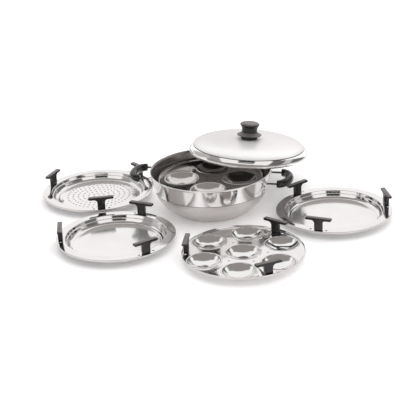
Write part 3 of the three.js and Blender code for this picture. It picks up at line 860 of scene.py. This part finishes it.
def makePan(rise=0):
    piece = spinPiece("pan", sheetPath(panSheet(rise), pan["wall"]), pan["turns"])
    carve(piece, drillBits(stackBits(pan["radius"] - pan["seatInset"], pan["height"])))
    addFinishes(piece, mirrorSteel, litPanFloorSteel, satinSteel, shadedSteel)
    margin = 2 * pan["wall"]
    for face in piece.data.polygons:  # painted light on the floor, a darker satin edge as painted shade under the rim, painted shade on the outer wall and in the holes
        reach = math.hypot(face.center.x, face.center.y) / mm
        outward = (face.normal.x * face.center.x + face.normal.y * face.center.y) / mm > 0.5 * reach
        inFlange = pan["radius"] - pan["flange"] + margin < reach < pan["radius"] - margin
        if outward and reach > pan["radius"] - margin:
            face.material_index = 2
        elif (inFlange and abs(face.normal.z) < 0.3) or (outward and face.center.z > pan["wall"] * mm):
            face.material_index = 3
        elif face.normal.z > 0 and face.center.z < (pan["wall"] + rise + 0.1) * mm:
            face.material_index = 1
    return piece


def strainerBits():
    bits = []
    for ring in range(strainer["rings"] + 1):
        reach = ring * strainer["pitch"]
        count = max(1, round(2 * math.pi * reach / strainer["spacing"]))
        for i in range(count):
            turn = 2 * math.pi * (i + strainer["twist"] * ring) / count
            spot = (reach * math.cos(turn), reach * math.sin(turn), strainer["rise"] + pan["wall"] / 2)
            bits.append((spot, strainer["holeRadius"], strainer["drill"]))
    return bits


panMaster = makePan()
steamerMaster = makePan(strainer["rise"])
carve(steamerMaster, drillBits(strainerBits(), 10))
for face in steamerMaster.data.polygons:  # painted shade on the walls of the small holes
    if abs(face.normal.z) < 0.3 and face.center.xy.length < (strainer["rings"] + 0.5) * strainer["pitch"] * mm:
        face.material_index = 3
keepTurned(panMaster)
keepTurned(steamerMaster)
for name, pieceName, master in (("steamer", "steamer", steamerMaster), ("left_dhokla", "leftDhokla", panMaster),
                                ("right_dhokla", "rightDhokla", panMaster)):
    centre = plateCentre(f"{name}_plate")
    plate = copyTo(master, f"{pieceName}Plate", Matrix.Translation(centre) @ turnZ(plateTurn(name, centre)))
    smooth(plate)
    dress(plate, name, "polished_steel", mirrorSteel, f"{name}_plate")
    addStackHandles(name, pieceName, name, centre)
dropPiece(panMaster)
dropPiece(steamerMaster)
print("pans made")


# Idli plates: a flat sheet with its edge turned up, and a ring of beaded cups pressed into it

idli = {"height": 14, "wall": 1, "edgeRise": 4, "corner": 1.2, "cupFlat": 6, "cupPull": 0.62, "bead": 2.6,
        "beadRise": 1.0, "beadStart": 0.4, "beadEnd": 0.5, "beadSink": 0.2, "mouth": 0.8, "steamReach": 14,
        "steamHole": 2.5, "drill": 6, "turns": 144, "cupTurns": 72}
largeCups = {"radius": 115.26, "count": 4, "margin": 14.4, "web": 18, "middle": False}
smallCups = {"radius": 125, "count": 6, "margin": 5, "web": 18, "middle": True}


def makeCup(cupRadius):
    rim = idli["height"] - idli["wall"]
    top = rim + idli["beadRise"]
    crest = cupRadius + idli["bead"] / 2
    outer = cupRadius + idli["bead"]
    side = curvePoints((idli["cupFlat"], 0), (cupRadius * idli["cupPull"], 0), (cupRadius, rim), 18)
    bead = [*curvePoints((cupRadius, rim), (cupRadius + idli["beadStart"], top), (crest, top), 4),
            *curvePoints((crest, top), (outer - idli["beadEnd"], top), (outer, rim - idli["beadSink"]), 4)]
    path = sheetPath([(0, 0), (idli["cupFlat"], 0), *side, *bead], idli["wall"], 0.1)
    return spinPiece("cup", path, idli["cupTurns"])


def makeIdliPlate(cups, extraBits, cupFinish, flatFinish):
    spread = 2 * math.sin(math.pi / cups["count"])
    inner = cups["radius"] - cups["margin"]
    cupRadius = (inner * spread - cups["web"]) / (2 + spread)
    ringRadius = inner - cupRadius
    under = idli["height"] - idli["wall"]
    sheet = [(0, under), (cups["radius"], under, idli["corner"]), (cups["radius"], idli["height"] + idli["edgeRise"])]
    plate = spinPiece("idliPlate", sheetPath(sheet, idli["wall"], 0.4), idli["turns"])
    turns = [(2 * i + 1) * math.pi / cups["count"] for i in range(cups["count"])]
    centres = [(ringRadius * math.cos(turn), ringRadius * math.sin(turn)) for turn in turns]
    if cups["middle"]:
        centres.append((0, 0))
    mouths = [((x, y, idli["height"]), cupRadius + idli["bead"] * idli["mouth"], idli["drill"]) for x, y in centres]
    carve(plate, drillBits(mouths, idli["cupTurns"]))
    reach = ringRadius / (2 * math.cos(math.pi / cups["count"])) if cups["middle"] else idli["steamReach"]
    webs = [turn - math.pi / cups["count"] for turn in turns]
    steam = [((reach * math.cos(web), reach * math.sin(web), idli["height"]), idli["steamHole"], idli["drill"])
             for web in webs]
    carve(plate, drillBits([*steam, *extraBits]))
    master = makeCup(cupRadius)
    pressed = [copyTo(master, "cup", Matrix.Translation((x * mm, y * mm, 0))) for x, y in centres]
    dropPiece(master)
    carve(plate, joinPieces(pressed), "UNION")
    cleanCut(plate)
    addFinishes(plate, cupFinish, satinSteel, flatFinish)
    edge = (cups["radius"] - idli["wall"] / 2) * mm
    for face in plate.data.polygons:  # a darker satin outer edge as painted shade along the rim, and the sheet between the cups
        if math.hypot(face.center.x, face.center.y) > edge and face.normal.z < 0.5:
            face.material_index = 1
        elif face.normal.z > 0.99 and abs(face.center.z - idli["height"] * mm) < 0.05 * mm:
            face.material_index = 2
    return plate


def setIdliPlate(plate, pieceName, body, node, turn):
    nameIt(plate, pieceName)
    setPlace(plate, Matrix.Translation(plateCentre(node)) @ turnZ(turn))
    smooth(plate)
    dress(plate, body, "polished_steel", mirrorSteel, node)


largeSeat = largeCups["radius"] - idli["wall"] - idli["corner"] - tee["depth"] / 2
stackTurn = plateTurn("lower_idli", Vector((0, 0, 0)))
# the plates inside the pot get darker copies of the steel on their cups and sheet: painted shade under the lid
upperPlate = makeIdliPlate(largeCups, [], cupSteel, flatSteel)
lowerPlate = copyTo(upperPlate, "lowerIdliPlate", Matrix())
carve(lowerPlate, drillBits(stackBits(largeSeat, idli["height"])))
cleanCut(lowerPlate)
keepTurned(upperPlate)
keepTurned(lowerPlate)
setIdliPlate(upperPlate, "upperIdliPlate", "upper_idli", "upper_idli_plate", stackTurn)
setIdliPlate(lowerPlate, "lowerIdliPlate", "lower_idli", "lower_idli_plate", stackTurn)
addStackHandles("lower_idli", "lowerIdli", "lower_idli", Vector((0, 0, 0)), "inside")
miniBits = stackBits(smallCups["radius"] - pan["seatInset"], idli["height"])
miniPlate = makeIdliPlate(smallCups, miniBits, mirrorSteel, mirrorSteel)
keepTurned(miniPlate)
miniCentre = plateCentre("mini_idli_plate")
setIdliPlate(miniPlate, "miniIdliPlate", "mini_idli", "mini_idli_plate", plateTurn("mini_idli", miniCentre))
addStackHandles("mini_idli", "miniIdli", "mini_idli", miniCentre)
for piece in (*teeMasters.values(), teeScrewMaster):
    dropPiece(piece)
print("idli plates made")


# Floor, light and camera

studio = {"floorSize": 8, "floorDrop": 0.0002, "floorColour": (0.97, 0.965, 0.966, 1), "floorGlow": 0.19,
          "lampSize": 2.6, "lampHeight": 2.4, "lampPower": 15, "fill": (0.92, 0.892, 0.896),
          "fillFrom": (0.55, 0.60, 0.0), "overheadTone": (0.30, 0.28, 0.27, 1), "nearTop": 40, "farTop": 25,
          "topBlend": (-0.25, -0.1), "ceilingFrom": 66, "ceilingTo": 74, "wingSlope": 1.2, "wingBlend": 0.1,
          "softness": 0.08, "cardTone": (0.02, 0.019, 0.018, 1), "cardWidth": 2.7, "cardHeights": (12, 22.8),
          "blindLeft": -22, "blindRight": 12, "blindSlats": [(0, 20.5), (23.5, 32)], "horizon": 0.02,
          # brightness of the panels round the set, by degrees to the right of the viewer's side
          "panels": [(-180, 1.0), (-150, 1.0), (-135, 0.52), (-90, 0.50), (-86, 0.36), (-64, 0.36), (-61, 1.0),
                     (46, 1.0), (49, 0.16), (76, 0.14), (80, 0.6), (95, 0.6), (99, 0.15), (140, 0.18), (152, 1.0),
                     (180, 1.0)], "panelTint": (1.0, 0.985, 0.98)}
view = {"place": (-0.0090, -2.3911, 1.0143), "dip": 23.02, "roll": -2.44, "lens": 100.8, "sensor": 36, "far": 50}
white = (1, 1, 1, 1)

clearSelection()
bpy.ops.mesh.primitive_plane_add(size=studio["floorSize"], location=(0, 0, -studio["floorDrop"]))
floor = bpy.context.object
floor.name = "floor"
paper, _, paperShader = newFinish("paper")
for key, value in (("Roughness", 0.9), ("Specular IOR Level", 0.0), ("Base Color", studio["floorColour"]),
                   ("Emission Color", studio["floorColour"]), ("Emission Strength", studio["floorGlow"])):
    paperShader.inputs[key].default_value = value
floor.data.materials.append(paper)

clearSelection()
bpy.ops.object.light_add(type="AREA", location=(0, 0, studio["lampHeight"]))
lamp = bpy.context.object
lamp.data.shape = "SQUARE"
lamp.data.size = studio["lampSize"]
lamp.data.energy = studio["lampPower"]
lamp.visible_glossy = False

world = bpy.data.worlds.new("studio")
bpy.context.scene.world = world
world.use_nodes = True
sky = world.node_tree
sky.nodes.clear()
rays = addNode(sky, "ShaderNodeLightPath").outputs
facing = addNode(sky, "ShaderNodeTexCoord").outputs["Generated"]
skyX, skyY, skyZ = addNode(sky, "ShaderNodeSeparateXYZ", {"Vector": facing}).outputs
across = calc(sky, "ARCTAN2", skyX, calc(sky, "MULTIPLY", skyY, -1.0))  # turn to the right of the viewer's side


def heightLevel(angle):
    return math.sin(math.radians(angle))


# A card that fills a range of turns and of heights, both in degrees
def skyCard(turn, left, right, heights):
    tall = between(sky, skyZ, *map(heightLevel, heights))
    return calc(sky, "MULTIPLY", between(sky, turn, math.radians(left), math.radians(right)), tall)


# Panels all round
panels = addNode(sky, "ShaderNodeValToRGB", {"Fac": spreadOut(sky, across, -math.pi, math.pi)})
stops = panels.color_ramp.elements
for angle, level in studio["panels"]:
    stop = stops[0] if angle == -180 else stops[-1] if angle == 180 else stops.new((angle + 180) / 360)
    stop.color = (*(level * tint for tint in studio["panelTint"]), 1)

# A ceiling above them, grey on the viewer's side
nearTop = heightLevel(studio["nearTop"])
limit = spreadOut(sky, skyY, *studio["topBlend"], nearTop, heightLevel(studio["farTop"]))
above = spreadOut(sky, calc(sky, "SUBTRACT", skyZ, limit), 0.0, studio["softness"], kind="SMOOTHSTEP")
nearSide = spreadOut(sky, calc(sky, "ARCTAN2", skyZ, skyY), math.radians(studio["ceilingFrom"]),
                     math.radians(studio["ceilingTo"]), kind="SMOOTHSTEP")
beside = calc(sky, "MULTIPLY_ADD", skyY, -studio["wingSlope"], calc(sky, "ABSOLUTE", skyX))
wings = calc(sky, "MULTIPLY", spreadOut(sky, beside, 0.0, studio["wingBlend"]),
             spreadOut(sky, skyZ, nearTop, nearTop + studio["softness"]))
ceiling = mixTone(sky, calc(sky, "MAXIMUM", nearSide, wings), white, studio["overheadTone"])
dome = mixTone(sky, above, panels.outputs["Color"], ceiling)

# Dark cards: a narrow one behind the set and wide slats on the viewer's side
inCard = skyCard(calc(sky, "ABSOLUTE", across), 180 - studio["cardWidth"], 200, studio["cardHeights"])
for slat in studio["blindSlats"]:
    inCard = calc(sky, "MAXIMUM", inCard, skyCard(across, studio["blindLeft"], studio["blindRight"], slat))
carded = mixTone(sky, inCard, dome, studio["cardTone"])
swept = mixTone(sky, calc(sky, "LESS_THAN", skyZ, studio["horizon"]), carded, white)

# More of the fill comes from behind the set and from its right
lean = addNode(sky, "ShaderNodeVectorMath", {0: facing, 1: studio["fillFrom"]}, operation="DOT_PRODUCT")
level = calc(sky, "ADD", lean.outputs["Value"], 1.0)
fill = addNode(sky, "ShaderNodeVectorMath", {0: studio["fill"], "Scale": level}, operation="SCALE")
mirrored = mixTone(sky, rays["Is Glossy Ray"], fill.outputs[0], swept)
seen = mixTone(sky, rays["Is Camera Ray"], mirrored, white)
glow = addNode(sky, "ShaderNodeBackground", {"Color": seen, "Strength": 1.0})
addNode(sky, "ShaderNodeOutputWorld", {"Surface": glow.outputs[0]})

aim = Matrix.Rotation(math.radians(90 - view["dip"]), 3, "X") @ Matrix.Rotation(math.radians(view["roll"]), 3, "Z")
clearSelection()
bpy.ops.object.camera_add(location=view["place"], rotation=aim.to_euler())
camera = bpy.context.object
camera.data.lens = view["lens"]
camera.data.sensor_width = view["sensor"]
camera.data.clip_end = view["far"]
bpy.context.scene.camera = camera
bpy.context.scene.view_settings.view_transform = "Standard"
print("studio made")
